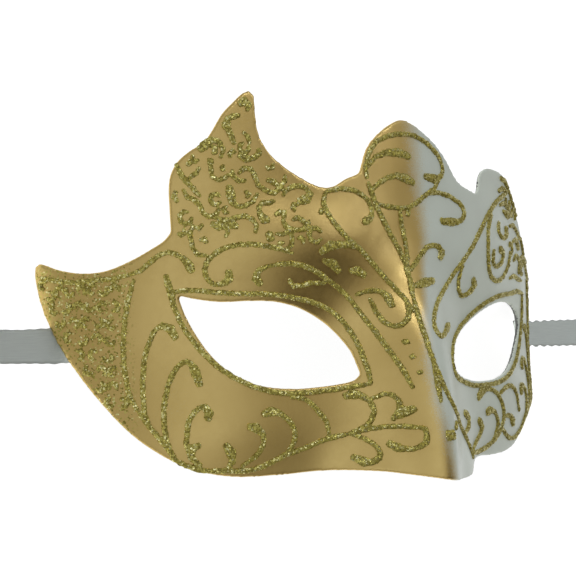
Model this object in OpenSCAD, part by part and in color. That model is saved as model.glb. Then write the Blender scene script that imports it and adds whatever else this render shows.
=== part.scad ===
// Venetian half mask: a thin moulded shell with raised glitter scrollwork and two satin ribbon ties.
// The mask lies face up on a table. Its shell is drawn in a frame of its own, with x across the face,
// y up the face and z out of the face, then tipped back about x and set down with its lowest point at z = 0.
// Points on the shell are given as [u, y]: u is the girth from the nose ridge, negative on the gold side.

/* [Shell] */
// Half width of the ellipse that the shell follows round the head
plan_a = 84; // [80:0.5:88]
// Depth of that ellipse
plan_b = 52; // [48:0.5:56]
// Wall of the moulded shell
wall = 1.2; // [1:0.1:1.6]
// How far the mask tips back as it lies
tilt = 16; // [14:0.5:18]

/* [Nose] */
// How far the nose ridge stands out at its lower end
nose_h = 20.5; // [16:0.5:24]
// Half width of the nose at half its height
nose_w = 12.5; // [11:0.5:15]

/* [Glitter] */
// Width of a line of glitter glue
line_w = 1.35; // [1.2:0.05:1.8]
// Width of the drop that a line starts or ends in
drop_w = 2.6; // [2:0.1:3]
// Height of a line over the shell
line_h = 0.5; // [0.4:0.1:0.8]

/* [Ribbons] */
// Width of the satin ribbon
ribbon_w = 8; // [7:0.5:9]
// Thickness of the ribbon
ribbon_t = 0.4; // [0.3:0.1:0.5]
// Radius of the outer turn of the put-away ribbon
coil_r = 29; // [27:1:31]
// Distance between its turns
coil_step = 4; // [3.5:0.5:5]
// Distance of the left coil's middle from the middle of the mask
coil_left_x = 134; // [132:1:150]
// Distance of the right coil's middle from the middle of the mask
coil_right_x = 152; // [144:1:160]

/* [Hidden] */
GLITTER_NODES = ["temple_left_glitter", "temple_right_glitter", "horn_left_glitter", "horn_right_glitter",
    "cheek_left_glitter", "cheek_right_glitter", "eye_left_glitter", "eye_right_glitter",
    "brow_left_glitter", "brow_right_glitter", "crest_glitter", "nose_glitter"];

gold = [0.72, 0.58, 0.33];
glitter = [0.55, 0.52, 0.22];
satin = [0.72, 0.74, 0.72];
glue = [0.85, 0.84, 0.80];

// ---- Shape of the shell -------------------------------------------------------------------------
girth_stretch = 1.81e-5;
end_angle = 75.5;
nose_top = 4;
nose_blend = 8;
nose_fall = 20;

function gauss(v, middle, width) = exp(-pow((v - middle) / width, 2));

// Angle round the ellipse for a girth u
function round_angle(u) = (u / plan_a) * (180 / PI) * (1 + girth_stretch * u * u);

// Nose ridge, growing smoothly from the brow down, with a wing on each side of its lower end
function below_brow(y) =
    let (d = nose_top - y) (d + sqrt(d * d + nose_blend * nose_blend)) / 2;
function nose(u, y) =
    nose_h * (1 - exp(-below_brow(y) / nose_fall)) / (1 + pow(u / nose_w, 2))
    + 3.0 * gauss(y, -49, 9) * gauss(abs(u), 16, 7);

// Brow and cheek swells, eye sockets and the backward lean of the forehead
function swell(u, y) =
    3.0 * gauss(y, 9, 10) * gauss(abs(u), 30, 20)
    - 2.2 * gauss(y, -14, 10) * gauss(abs(u), 24, 11)
    + 2.2 * gauss(y, -36, 13) * gauss(abs(u), 52, 24)
    - 0.0025 * pow(max(0, y - 10), 2);

// A point of the outer surface
function skin(u, y) =
    let (a = round_angle(u),
         nx = sin(a) / plan_a,
         nz = cos(a) / plan_b,
         n = norm([nx, nz]),
         s = swell(u, y))
    [plan_a * sin(a) + s * nx / n,
     y,
     plan_b * (cos(a) - cos(end_angle)) + s * nz / n + nose(u, y)];

// Unit vectors there: along the girth, and out of the surface
function girthwise(u, y) =
    let (d = skin(u + 0.1, y) - skin(u - 0.1, y)) d / norm(d);
function outward(u, y) =
    let (n = cross(girthwise(u, y), skin(u, y + 0.1) - skin(u, y - 0.1))) n / norm(n);

// A point at a given height over the outer surface, negative for the inside
function over(p, h) = skin(p[0], p[1]) + h * outward(p[0], p[1]);

// ---- Smooth curves through a few points ---------------------------------------------------------
// Each row is [key, value, value]. The key rises along the list.
function span_of(rows, key, i = 0) =
    i >= len(rows) - 2 || key < rows[i + 1][0] ? i : span_of(rows, key, i + 1);
function slope_at(rows, i) =
    let (a = rows[max(i - 1, 0)], b = rows[min(i + 1, len(rows) - 1)]) (b - a) / (b[0] - a[0]);
function on_curve(rows, key) =
    let (i = span_of(rows, key),
         a = rows[i],
         b = rows[i + 1],
         w = b[0] - a[0],
         t = (key - a[0]) / w,
         r = (2 * t * t * t - 3 * t * t + 1) * a + (t * t * t - 2 * t * t + t) * w * slope_at(rows, i)
             + (3 * t * t - 2 * t * t * t) * b + (t * t * t - t * t) * w * slope_at(rows, i + 1))
    [r[1], r[2]];
function keyed(points) = [for (p = points) [p[0], p[0], p[1]]];

// ---- Outlines -----------------------------------------------------------------------------------
// Lower edge, from the gold temple round under the nose to the white temple
lower_edge = keyed([
    [-95.8, 1.5], [-94.8, -3.5], [-92, -10], [-88.5, -16], [-84, -22], [-78, -29], [-71, -36], [-64, -41],
    [-57, -44.4], [-48, -46.2], [-38, -46.2], [-25, -45.4], [-15, -45.6], [-8, -46.7], [0, -48],
    [8, -48.7], [14, -48.8], [19, -48], [22, -46.2], [26, -45.2], [36, -45.4], [43, -45], [48, -43.6],
    [52, -41], [56, -38.4], [60, -36.7], [66, -35], [72, -32.4], [78, -28], [84, -22], [88.5, -16],
    [92, -10], [94.8, -3.5], [95.8, 1.5]]);

// Upper edge, as [column, u, y]: temple points, the tall gold horn, the crest and the low white horn
upper_edge = [
    [-95.8, -95.6, 3.4], [-94.5, -94.5, 4.1], [-89, -89, 2.6], [-83, -83, 1.8], [-77, -77, 2.4],
    [-71, -71, 4.8], [-66, -66, 7.6], [-62.6, -62.8, 9.8], [-61.4, -61.5, 11.6], [-60.6, -61.5, 15],
    [-59.8, -62, 19], [-59, -62, 23], [-58, -61, 26.5], [-56.6, -58.8, 29.2], [-55, -56.2, 31.2],
    [-53, -53.4, 33], [-51, -51.2, 36], [-48.5, -48.8, 39.8], [-46, -46, 42.6], [-43.5, -43.4, 44.9],
    [-42, -41.6, 45.6], [-41, -40.4, 44.8], [-40, -40.4, 41], [-39, -40.2, 37], [-38, -39.2, 33.6],
    [-36.5, -37.2, 30.6], [-34, -34, 27.8], [-30, -30, 25.3], [-26, -26, 23.4], [-23, -23, 22.7],
    [-20, -20, 23.2], [-17, -17, 24.8], [-14.4, -14.4, 25.8], [-12.6, -12.4, 26.6], [-11.4, -11.4, 28.8],
    [-10, -10.4, 31.4], [-8, -8.4, 34.2], [-5, -5, 37], [-1, -1, 39.3], [2.5, 2.5, 40.4], [6, 6, 39.7],
    [10, 10, 37.7], [14, 14, 35.2], [17.5, 17.4, 32.2], [20, 19.8, 29.2], [22, 21.6, 26.6],
    [24, 23.6, 25], [27, 27, 23.8], [30, 30.4, 22.8], [31.4, 31.6, 23.4], [32.8, 32.8, 26],
    [34.6, 34.6, 28.3], [37.5, 37.5, 29.6], [41, 41, 29.8], [45, 45, 29.2], [48.5, 49, 27.8],
    [51, 51.6, 25], [53, 53.4, 21.8], [56, 56.4, 18], [60, 60, 13.6], [64, 64, 9.6], [68, 68, 6.6],
    [73, 73, 3.8], [78, 78, 2.2], [83, 83, 1.8], [89, 89, 2.6], [94.5, 94.5, 4.1], [95.8, 95.6, 3.4]];

// Eye holes, upper and lower edges from the left corner to the right one
left_eye_top = keyed([
    [-60, -3.4], [-56, -4.3], [-50, -5], [-43, -4.8], [-37, -5], [-31, -6.4], [-26, -8.7], [-22, -11.6],
    [-19, -15.2], [-17.2, -19], [-16.6, -22.4]]);
left_eye_bottom = keyed([
    [-60, -3.4], [-58.8, -7], [-56, -12.5], [-52, -18], [-47, -22.2], [-41, -24.7], [-33, -25.6],
    [-25, -25.2], [-20, -24.4], [-17.8, -23.7], [-16.6, -22.4]]);
right_eye_top = keyed([
    [13.4, -20.6], [15, -18.4], [19, -15.6], [25, -12], [30, -9.3], [35, -7.1], [40, -5.9], [45, -5.6],
    [50, -6.2], [54, -7.6], [57, -9.7], [58.2, -12]]);
right_eye_bottom = keyed([
    [13.4, -20.6], [15, -22.2], [20, -24.3], [27, -25.6], [34, -25.8], [40, -25.2], [46, -23.2],
    [51, -20], [55, -16.4], [57.4, -13.8], [58.2, -12]]);

// Corners of the temples and of the eye holes, along the girth and up the face
temple = 95.8;
temple_y = 2.2;
left_eye = [left_eye_top[0][0], -16.6];
left_eye_y = [-3.4, -22.4];
right_eye = [13.4, 58.2];
right_eye_y = [-20.6, -12];

// Columns of the shell's grid. Two of the corners of each eye hole lie on a column.
function steps(from, to, count) = [for (i = [0 : count - 1]) from + (to - from) * i / count];
columns = concat(
    steps(-temple, left_eye[0], 25), steps(left_eye[0], left_eye[1], 34),
    steps(left_eye[1], right_eye[0], 22),
    steps(right_eye[0], right_eye[1], 32), steps(right_eye[1], temple, 21), [temple]);
last_column = len(columns) - 1;
lower_rows = 6;
upper_rows = 10;
all_rows = lower_rows + upper_rows + 2;

function in_left_eye(g) = g > left_eye[0] + 0.01 && g < left_eye[1] - 0.01;
function in_right_eye(g) = g > right_eye[0] + 0.01 && g < right_eye[1] - 0.01;
function in_eye(g) = in_left_eye(g) || in_right_eye(g);

// Line on which the bands under and over the eyes meet, where there is no hole between them
function between(from, to, share) = from + (to - from) * share;
function meeting(g) =
    g < left_eye[0] + 0.01 ?
        [g, between(left_eye_y[0], temple_y, pow(max(0, left_eye[0] - g) / (temple + left_eye[0]), 1.6))] :
    g > right_eye[1] - 0.01 ?
        [g, between(right_eye_y[1], temple_y, pow(max(0, g - right_eye[1]) / (temple - right_eye[1]), 1.2))] :
        [g, between(left_eye_y[1], right_eye_y[0], (g - left_eye[1]) / (right_eye[0] - left_eye[1]))];
function middle_low(g) =
    in_left_eye(g) ? on_curve(left_eye_bottom, g) :
    in_right_eye(g) ? on_curve(right_eye_bottom, g) : meeting(g);
function middle_high(g) =
    in_left_eye(g) ? on_curve(left_eye_top, g) :
    in_right_eye(g) ? on_curve(right_eye_top, g) : meeting(g);

function column_points(g) =
    let (a = on_curve(lower_edge, g), b = middle_low(g), c = middle_high(g), d = on_curve(upper_edge, g))
    concat([for (j = [0 : lower_rows]) a + (b - a) * j / lower_rows],
           [for (j = [0 : upper_rows]) c + (d - c) * j / upper_rows]);
grid = [for (g = columns) each column_points(g)];
outer_points = [for (p = grid) skin(p[0], p[1])];
inner_points = [for (p = grid) over(p, -wall)];
inner_first = len(outer_points);

// Index of a grid point. The two middle rows are one row wherever there is no eye between them.
function at(i, j) =
    i * all_rows + (j == lower_rows + 1 && !in_eye(columns[i]) ? lower_rows : j);
function quad(a, b, c, d) = [[a, b, c], [a, c, d]];
function back(i, j) = inner_first + at(i, j);
function low_rim(i, j) = quad(at(i, j), at(i + 1, j), back(i + 1, j), back(i, j));
function high_rim(i, j) = quad(at(i + 1, j), at(i, j), back(i, j), back(i + 1, j));
band_rows = concat([for (j = [0 : lower_rows - 1]) j], [for (j = [lower_rows + 1 : all_rows - 2]) j]);
function open_between(i) = in_eye(columns[i]) || in_eye(columns[i + 1]);
shell_faces = concat(
    [for (i = [0 : last_column - 1], j = band_rows)
        each concat(quad(at(i, j), at(i, j + 1), at(i + 1, j + 1), at(i + 1, j)),
                    quad(back(i, j), back(i + 1, j), back(i + 1, j + 1), back(i, j + 1)))],
    [for (i = [0 : last_column - 1]) each concat(low_rim(i, 0), high_rim(i, all_rows - 1))],
    [for (i = [0 : last_column - 1]) if (open_between(i))
        each concat(high_rim(i, lower_rows), low_rim(i, lower_rows + 1))],
    [for (j = band_rows) each concat(
        quad(at(0, j + 1), at(0, j), back(0, j), back(0, j + 1)),
        quad(at(last_column, j), at(last_column, j + 1), back(last_column, j + 1), back(last_column, j)))]);

// ---- Setting down on the table ------------------------------------------------------------------
function tipped(p) = [p[0], p[1] * cos(tilt) - p[2] * sin(tilt), p[1] * sin(tilt) + p[2] * cos(tilt)];
tipped_points = [for (p = concat(outer_points, inner_points)) tipped(p)];
tipped_x = [for (p = tipped_points) p[0]];
tipped_y = [for (p = tipped_points) p[1]];
tipped_z = [for (p = tipped_points) p[2]];
seat = [-(min(tipped_x) + max(tipped_x)) / 2, -(min(tipped_y) + max(tipped_y)) / 2, -min(tipped_z)];
function on_table(p) = tipped(p) + seat;
module set_down() translate(seat) rotate([tilt, 0, 0]) children();

module mask_shell() {
    color(gold) set_down() polyhedron(concat(outer_points, inner_points), shell_faces);
}

// ---- Glitter scrollwork -------------------------------------------------------------------------
// A stroke is [start width, end width, points]. A ring or hook is an arc about a middle point.
glitter_step = 3;
bend_step = 2.4;
bend = 22;
swelling_steps = 2;
end_share = 0.65;
sunk = 0.2;
function stroke(points, from = line_w, to = line_w) = [from, to, points];
function drop(points) = stroke(points, line_w, drop_w);
function blob(points, w = 1.7) = stroke(points, w, w);
function arc(middle, r, from, sweep, count = 6) =
    stroke([for (i = [0 : count]) let (a = from + sweep * i / count) middle + r * [cos(a), sin(a)]]);
function mirrored(strokes) = [for (s = strokes) [s[0], s[1], [for (p = s[2]) [-p[0], p[1]]]]];

function stroke_tangent(p, i) = p[min(i + 1, len(p) - 1)] - p[max(i - 1, 0)];
function turned(a, b) = acos(min(1, max(-1, a * b / max(norm(a) * norm(b), 0.001))));
function smooth(p) =
    [for (i = [0 : len(p) - 2])
        let (a = p[i], b = p[i + 1], d = norm(b - a),
             ta = stroke_tangent(p, i), tb = stroke_tangent(p, i + 1),
             n = max(1, round(d / glitter_step), d > bend_step && turned(ta, tb) > bend ? 2 : 1),
             ma = ta * d / max(norm(ta), 0.01), mb = tb * d / max(norm(tb), 0.01))
        for (k = [0 : n - 1])
            let (t = k / n)
            (2 * t * t * t - 3 * t * t + 1) * a + (t * t * t - 2 * t * t + t) * ma
            + (3 * t * t - 2 * t * t * t) * b + (t * t * t - t * t) * mb,
     p[len(p) - 1]];

// Four corners of the line's section: two sunk in the shell and two over it
function section(path, i, width) =
    let (p = path[i],
         d = stroke_tangent(path, i),
         across = [-d[1], d[0]] / max(norm(d), 0.001) * width / 2)
    [over(p + across, -sunk), over(p - across, -sunk),
     over(p - across * 0.6, line_h), over(p + across * 0.6, line_h)];

// The width changes over the last few steps of the line, and narrows again at both ends
function width_at(s, i, last) =
    (last > 1 && (i == 0 || i == last) ? end_share : 1)
    * (s[0] + (s[1] - s[0]) * pow(max(0, 1 - max(0, last - 1 - i) / swelling_steps), 1.5));

module glitter_line(s) {
    path = smooth(s[2]);
    last = len(path) - 1;
    for (i = [0 : last - 1])
        hull() polyhedron(
            concat(section(path, i, width_at(s, i, last)), section(path, i + 1, width_at(s, i + 1, last))),
            [[0, 1, 2, 3], [7, 6, 5, 4], [0, 4, 5, 1], [1, 5, 6, 2], [2, 6, 7, 3], [3, 7, 4, 0]]);
}
module glitter_lines(strokes) {
    color(glitter) set_down() for (s = strokes) glitter_line(s);
}

// Temple: a border round a field of small hooks
temple_strokes = concat([
    stroke([[-93.6, 0.8], [-90, 0.1], [-85, -0.4], [-80, 0.2], [-75, 0.5], [-71.5, 1.4]]),
    stroke([[-70.2, 0.4], [-71.4, -3.4], [-72.5, -9], [-72.9, -16], [-72.5, -22], [-71.6, -26.4],
        [-69.4, -30.6]]),
    drop([[-71.5, 1.4], [-68.6, 2.4], [-65.6, 5.2], [-62.4, 6.7], [-59.4, 5.8], [-57.4, 3.8], [-56.7, 1.9]])],
    [for (m = [[-93, -1, 40], [-91, -3.6, 200], [-88.6, -2.6, 0], [-86, -2.6, 120], [-83, -2.4, 300],
               [-80.2, -2, 60], [-77.6, -2.2, 180], [-74.8, -2, 330], [-90, -6.6, 90], [-87, -6.4, 210],
               [-83.8, -6.2, 330], [-80.8, -6, 120], [-77.8, -6.2, 20], [-75, -6, 240], [-88.4, -9.8, 160],
               [-85, -10, 280], [-81.9, -9.8, 40], [-78.7, -9.8, 200], [-75.6, -10.2, 90],
               [-86.2, -13.4, 60], [-82.7, -13.8, 190], [-79.3, -13.6, 310], [-76, -14, 130],
               [-83.6, -17.4, 250], [-80, -17.4, 30], [-76.6, -17.8, 160], [-81.2, -21, 100],
               [-78.1, -21.2, 290], [-75.2, -21.4, 40], [-78.4, -24.8, 200], [-75.4, -25, 330],
               [-76, -28.4, 80], [-73, -28.6, 250]])
        arc([m[0], m[1]], 1.1, m[2], 240, 4)]);

// Horn: hooks, rings and short scrolls up to its tip
horn_left_strokes = concat([
    drop([[-42.6, 40.5], [-41.9, 42], [-43, 43], [-44.7, 42.1]]),
    blob([[-44.4, 39.4], [-46.2, 39.2], [-47.8, 38.4], [-47.6, 36.4], [-46.8, 34.4], [-46, 32.4]]),
    stroke([[-43.9, 35.7], [-42.5, 34.2], [-42.3, 32.6]]),
    blob([[-45.3, 29.9], [-43.4, 28.8], [-41.4, 29.3], [-39.9, 30.4], [-40.1, 31.7]], 1.7),
    drop([[-49.6, 29.1], [-48.8, 31], [-49.8, 33], [-51.6, 33.5], [-53.4, 32], [-54.8, 30.8]]),
    stroke([[-60.3, 27.7], [-59.5, 25.8], [-58.4, 24], [-57, 22.6], [-55.8, 21.2], [-54.6, 19.9]]),
    stroke([[-54.6, 26.8], [-55.6, 25.3], [-57.6, 23.9]]),
    blob([[-57.5, 28.2], [-56.8, 27.3]], 1.6),
    blob([[-60.2, 21.2], [-60.8, 19.8], [-60, 18.4]]),
    stroke([[-58.6, 21.6], [-57.8, 19.8], [-56.2, 19.2], [-54.8, 17.9], [-54.2, 16.2], [-52.8, 15.1],
        [-51.2, 15.4], [-50.2, 17.3]]),
    stroke([[-52.1, 28], [-51.9, 26.2], [-51.6, 24.6], [-50.2, 23.8], [-48.6, 24.4], [-47.6, 25.4]]),
    blob([[-52.7, 28.2], [-51.4, 28.2]], 2),
    blob([[-49.6, 26.6], [-48.6, 26.9]], 1.8),
    stroke([[-46.9, 26.5], [-46.6, 24.8], [-45.2, 23.6], [-43.4, 23.9]]),
    stroke([[-45.4, 25.4], [-44, 26.8], [-42.2, 26.7], [-41.2, 24.8], [-40.6, 22.8], [-39, 21.6],
        [-36.9, 20.9], [-35, 22.2], [-33.7, 24], [-33.7, 25.4]]),
    blob([[-38.3, 24.2], [-36.6, 23.6], [-35.2, 22.8]], 1.7),
    drop([[-34.6, 20.3], [-33.5, 21.8], [-30.8, 22.8], [-28.4, 22.4], [-27.2, 21], [-28.4, 19.6],
        [-31, 19]]),
    drop([[-40.8, 20.9], [-41.9, 19], [-43.8, 17.9], [-45.6, 17.6], [-47, 18.4], [-47.4, 20.6],
        [-47.7, 22.7]]),
    blob([[-44, 21.4], [-42.9, 20.6], [-43.6, 19.7]], 1.7),
    stroke([[-54, 13.5], [-55, 12.3], [-56.4, 12.7], [-57.3, 11.3], [-56.8, 9.4], [-56.5, 7.6], [-55.2, 6.2],
        [-52.8, 5.9]]),
    blob([[-54.9, 9.6], [-53.9, 10.1], [-53.2, 8.8]]),
    blob([[-52.2, 13.7], [-50.6, 12.7], [-49, 13.5], [-47.4, 13.2], [-46, 13]], 2.2),
    stroke([[-51.4, 15], [-49.6, 14.4], [-47.6, 14.5], [-45.8, 15.2], [-43.8, 15.3], [-42.2, 14.4],
        [-41.6, 12.9], [-42.1, 11.3]]),
    stroke([[-49, 13], [-48.3, 11.3], [-49.2, 10.2]]),
    drop([[-36.8, 19.2], [-38.2, 18.5], [-39.8, 18.7], [-40.8, 17.6], [-40.6, 15.8], [-39.8, 14.5],
        [-38.4, 14.5]]),
    blob([[-37, 15.7], [-35.8, 16.5], [-34.6, 16.4], [-35, 14.8]], 1.6),
    stroke([[-35.4, 14.6], [-34.8, 13.2], [-33.2, 12.2], [-31.2, 12.1], [-29.4, 12.8], [-28.5, 14.6]]),
    stroke([[-32.9, 14.5], [-31.4, 15.2], [-30.1, 14.4], [-29.2, 13.2]]),
    blob([[-39.4, 10.3], [-37.8, 10.8]], 2.8),
    stroke([[-37.4, 11.2], [-35.6, 11.1], [-33.8, 11.8], [-33.2, 10.4], [-33.5, 8.4], [-34.8, 7.3],
        [-36.4, 7.8], [-36.4, 9], [-35.2, 9.3]])],
    [for (m = [[-51, 19.3, 30, 1.3], [-58.1, 14.9, 60, 1.5], [-43.7, 31.6, 90, 1.2], [-27.3, 11, 20, 1.8]])
        arc([m[0], m[1]], m[3], m[2], 310)],
    [for (m = [[-59.2, 11.6, 200], [-46.6, 30, 20], [-51.4, 31, 250], [-55.6, 29, 120], [-47.8, 36.8, 0],
               [-48.4, 16.8, 90], [-37.4, 27.6, 180], [-31.2, 9.6, 300], [-31.6, 17.6, 40], [-24.4, 16.4, 0]])
        arc([m[0], m[1]], 0.9, m[2], 220, 3)]);
horn_right_strokes = concat([
    blob([[45.2, 27.4], [48, 27], [50.2, 24.8]], 1.9),
    stroke([[50.2, 24.8], [52.4, 21.6], [55.4, 17.6]]),
    blob([[43, 23.8], [46.4, 24.8], [49.4, 23.6]], 1.7),
    stroke([[42.4, 20], [45.4, 20.8], [48.4, 19.4], [50.6, 20.6]]),
    drop([[39.6, 15.6], [38, 13], [40.4, 11.4], [43.6, 12], [44.4, 14.6]]),
    drop([[44, 18.6], [47, 17.6], [50.4, 18]]),
    stroke([[47.4, 14.6], [51, 15], [54.4, 13.4], [57.6, 11.4]]),
    drop([[49.4, 10.4], [53, 11], [56, 8.6]]),
    stroke([[58.4, 12], [61.6, 9], [64, 6.4]]),
    stroke([[50.4, 5.4], [53.4, 7], [57, 5.6], [60, 6.6]]),
    drop([[62, 4], [64.6, 6], [67, 4.6]])],
    [for (m = [[48.6, 21, 120], [52.6, 17.8, 300], [60.4, 3.2, 60], [47, 8.6, 250]])
        arc([m[0], m[1]], 1.5, m[2], 270)]);

// Cheek: tall hooks that lean towards the nose, and the scroll along the lower edge
cheek_left_strokes = [
    stroke([[-69.4, -30.6], [-67, -34], [-64, -37.6], [-61, -41.4]]),
    drop([[-66.6, -34.4], [-68, -31], [-68.3, -27], [-68.3, -22], [-67.6, -16.4], [-66, -12.4],
        [-63.8, -10.4], [-61.8, -11.2], [-60.6, -13.8]]),
    drop([[-61.8, -41], [-63.2, -36.5], [-63.6, -30], [-62.4, -24], [-60.2, -20], [-58, -18.9],
        [-56.4, -21], [-55.2, -24.8]]),
    drop([[-57.8, -41.4], [-58.6, -38], [-58.2, -33.6], [-56.6, -30.6], [-54.2, -29.4], [-53.4, -31],
        [-53.8, -32.8]]),
    drop([[-55, -43.2], [-57.4, -41.6], [-57.4, -39.2], [-55.4, -38.4]]),
    drop([[-49.2, -44.2], [-48, -42.4], [-48.4, -40.4], [-49.9, -38.2]]),
    drop([[-46, -43.8], [-42.6, -41.4], [-40.9, -38.6], [-41, -36.2], [-42.6, -34.5], [-44.6, -34.4]]),
    drop([[-35.5, -41.4], [-33.4, -38.4], [-33.4, -35], [-35.8, -32], [-38.8, -30.8], [-41, -31.6]]),
    stroke([[-34, -27.6], [-30.6, -28], [-27.6, -30.6], [-25.4, -33.6], [-24.8, -37]]),
    stroke([[-62, -41.4], [-56, -44.3], [-50, -44.6], [-45, -44.8], [-40.6, -43.8], [-35.6, -41.4],
        [-30.6, -39.8], [-26, -38], [-20, -36.6]]),
    drop([[-20, -36.6], [-16.4, -34.8], [-14.6, -31.6], [-15.6, -28.6], [-18.4, -27.2], [-21, -27.8]]),
    drop([[-20, -36.6], [-17, -38], [-14.6, -40.4], [-15, -42.8], [-18, -43.4], [-20.4, -42]]),
    stroke([[-20, -36.6], [-15, -35.4], [-10, -35], [-5, -35.4]]),
    stroke([[-15, -28.4], [-12.2, -27.2], [-10, -28.2], [-9.6, -31], [-11.2, -33.6]]),
    drop([[-10.6, -33], [-8.6, -31.4], [-6.6, -30.6]]),
    drop([[-5.4, -35.4], [-5.4, -38.8], [-8, -40.4], [-11, -40], [-12.6, -38.8]])];
cheek_right_strokes = [
    stroke([[71, -29.5], [66, -32.4], [60, -34.2], [55, -36.6], [51.6, -39.4]]),
    drop([[66, -32.4], [68.2, -27.6], [68.4, -21.6], [67, -16], [64.8, -12.6], [62.8, -13.4]]),
    drop([[61.4, -33.8], [63, -29], [62.4, -24.4], [60.2, -21.2], [57.8, -21.6], [57, -24]]),
    drop([[56, -36], [57.6, -32], [56.2, -28.6], [53.6, -28.2], [52.8, -30.8]]),
    drop([[20, -43.6], [26, -43.8], [32, -42.6], [37, -40], [39.6, -36.4], [39.4, -32.8], [36.6, -29.2],
        [32.4, -28], [28.6, -28.8], [26.4, -30.4]]),
    drop([[34, -41.8], [36.2, -38.6], [36, -35.4], [33.4, -33.6], [30.4, -34.2]]),
    drop([[21, -42.6], [24.6, -40.8], [27.8, -38], [26, -35.4]]),
    drop([[14, -38.4], [18.4, -37.4], [20, -34.8], [17, -33.2]]),
    stroke([[38.4, -29.6], [42, -28.2], [46.4, -28], [49, -30.6], [49.6, -35]]),
    drop([[41, -35.6], [44, -35.8], [45.6, -38.4]]),
    stroke([[38.8, -38.6], [43, -41.4], [47.6, -41.6], [51.6, -39.4]])];

// Eyes: a line round each hole
eye_left_strokes = [
    stroke([[-14.6, -24.8], [-19.4, -25.6], [-26, -26.4], [-33, -26.8], [-39, -26.2], [-45, -24], [-50, -21],
        [-54.4, -17], [-58.6, -11.4], [-61, -6], [-62, -1.8], [-62.9, 1.6]], line_w, 1.9),
    stroke([[-61.8, -2.6], [-56, -2.2], [-50, -2.8], [-43, -3], [-37, -3.2], [-30, -4.4], [-25, -5.8],
        [-20.6, -8.4], [-17.6, -12.4], [-15.8, -17], [-15, -21.4], [-14.6, -24.8]])];
eye_right_strokes = [
    stroke([[61.6, -3.4], [56, -2.8], [49, -3.4], [42, -3.8], [36, -5], [30, -7.4], [24, -10.8], [18, -14.2],
        [13, -17.4], [10.8, -20.4], [12.6, -23.4], [18, -25.2], [25, -26.8], [33, -27], [40, -26.4],
        [47, -24.4], [52.4, -21], [57, -16.4], [60, -11], [61.6, -3.4]])];

// Brow and bridge: long lines from the horn to the nose with curls hung from them
brow_left_strokes = [
    drop([[-33, 6.6], [-37, 7.8], [-43, 8.7], [-48.6, 8], [-52.4, 5.6], [-53.8, 2.6], [-52.6, -0.2],
        [-50, -0.8], [-48, 0.6], [-48.2, 2.6]]),
    stroke([[-38, 3.8], [-33, 4.2], [-27.4, 2.6], [-22.6, -0.4], [-18.6, -3.4], [-15.4, -7.6], [-12.4, -12.4],
        [-10, -17.4], [-8, -22], [-6.8, -26]]),
    drop([[-38, 3.8], [-40.8, 2.8], [-41.8, 0.6], [-40.4, -1]]),
    stroke([[-33.8, 0.4], [-32.4, -1.4], [-28, -0.4], [-24, -0.6]]),
    stroke([[-23, 21.6], [-24, 18.6], [-22.2, 14.6], [-18.8, 10.8], [-14.8, 7.8], [-11, 4], [-7.8, 0],
        [-5, -4], [-3.4, -7.6]]),
    drop([[-15, 8], [-19, 8.9], [-23.4, 8.6], [-26.2, 6.8]]),
    drop([[-25.4, 5], [-22.4, 4.2], [-20.6, 2]]),
    drop([[-23, 21.6], [-19, 22.4], [-15, 22.2], [-11.8, 20.6], [-10, 18], [-10.8, 15.2], [-13.2, 14.4]]),
    drop([[-18, 2.6], [-15.6, 2.6], [-13.4, 1.2]]),
    drop([[-16.4, -3.4], [-13.4, -2.4], [-10.6, -2.4], [-8.6, -4], [-8, -6.4]]),
    stroke([[-13, -4], [-12, -7], [-10.8, -9.6], [-8.4, -11], [-5.8, -9.8], [-4.6, -7], [-4.6, -4.4]]),
    blob([[-7.5, -15], [-6.2, -14.5]], 1.5),
    blob([[-6.3, -17.8], [-5.8, -18.8]], 1.5),
    blob([[-5.3, -21.6], [-5, -22.5]], 1.4)];
brow_right_strokes = [
    drop([[49, 23.6], [44, 22.2], [38, 19.6], [32, 16], [26, 11], [21.4, 6], [17, 2], [12, -2.2], [6.4, -5.4],
        [2.4, -8.4], [1, -11.6], [3, -13.6], [8, -12.4], [12.6, -11]]),
    drop([[20.4, 4], [19, 0], [20.6, -3.4], [24.2, -3.4], [27, -1], [25.6, 0.8]]),
    stroke([[36, 17.4], [32.4, 14], [31, 9.6], [31.6, 5], [34.4, 1.4], [38.6, 0], [42.6, 1.2], [45.6, 4.4],
        [46.6, 8]]),
    drop([[34.2, 8.4], [34, 5.4], [36.6, 3.8], [39.8, 5], [40.2, 7.6], [37.4, 8.4]]),
    stroke([[47.6, 0.6], [51.6, 1.4], [56, 0.6], [60, 0]])];

// Crest: a border with two inner arcs, and the swirl that leaves it on the white side
crest_strokes = [
    drop([[-10.6, 25], [-10.8, 28], [-9.4, 31.4], [-6.8, 34.4], [-3, 36], [2, 36.7], [7, 36.4], [11, 34.8],
        [14.6, 32.2], [16.2, 29.2], [15.6, 26.8], [12.4, 25.8], [8.6, 26.4]]),
    drop([[-10, 28], [-7.6, 30.6], [-4, 31.8], [0, 32], [4.2, 31]]),
    drop([[-9.2, 22.4], [-7, 24.2], [-4.4, 25.4], [-1.4, 26.2], [2, 25.6], [4.8, 24.4]]),
    stroke([[-8.4, 19], [-5.4, 18.4], [-1, 18], [2, 18.2], [5.4, 19.8], [8.6, 21.6], [12, 23.2],
        [14.6, 25.8]]),
    stroke([[1.4, 16.2], [2.2, 18.6]]),
    drop([[9.6, 22], [13.8, 22.4], [18, 21.6], [21.4, 20], [22.9, 17.8], [21, 15.5], [17, 15], [13, 15.2]])];

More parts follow.
